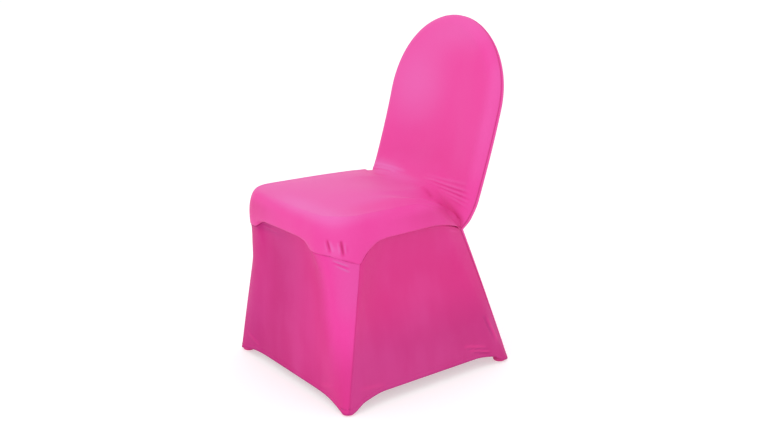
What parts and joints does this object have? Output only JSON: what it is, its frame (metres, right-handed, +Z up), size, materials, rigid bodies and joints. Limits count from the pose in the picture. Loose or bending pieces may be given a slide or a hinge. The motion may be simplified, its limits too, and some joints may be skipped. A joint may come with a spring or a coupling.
{
  "type": "banquet chair cover",
  "caption": "Fitted stretch-knit cover for a round-topped banquet chair, with seat, back and skirt panels and a foot pocket at each leg.",
  "frame": {"origin": "on the floor, below the middle of the cover's overall width and depth", "axes": "+Z up; the front of the seat faces -Y, the back stands at +Y; +X is the sitter's left"},
  "size_m": [0.544, 0.5959, 0.925],
  "materials": {
    "seat_knit": "plain bright pink stretch knit with a slight sheen",
    "inside_back_knit": "plain bright pink stretch knit with a slight sheen",
    "outside_back_knit": "plain bright pink stretch knit with a slight sheen",
    "front_skirt_knit": "plain bright pink stretch knit with a slight sheen",
    "left_skirt_knit": "plain bright pink stretch knit with a slight sheen",
    "right_skirt_knit": "plain bright pink stretch knit with a slight sheen",
    "foot_pocket_front_left_knit": "plain bright pink stretch knit with a slight sheen",
    "foot_pocket_front_right_knit": "plain bright pink stretch knit with a slight sheen",
    "foot_pocket_rear_left_knit": "plain bright pink stretch knit with a slight sheen",
    "foot_pocket_rear_right_knit": "plain bright pink stretch knit with a slight sheen"
  },
  "bodies": {
    "root": {"seat": "seat_knit", "inside_back": "inside_back_knit", "outside_back": "outside_back_knit", "front_skirt": "front_skirt_knit", "left_skirt": "left_skirt_knit", "right_skirt": "right_skirt_knit", "foot_pocket_front_left": "foot_pocket_front_left_knit", "foot_pocket_front_right": "foot_pocket_front_right_knit", "foot_pocket_rear_left": "foot_pocket_rear_left_knit", "foot_pocket_rear_right": "foot_pocket_rear_right_knit"}
  },
  "joints": []
}
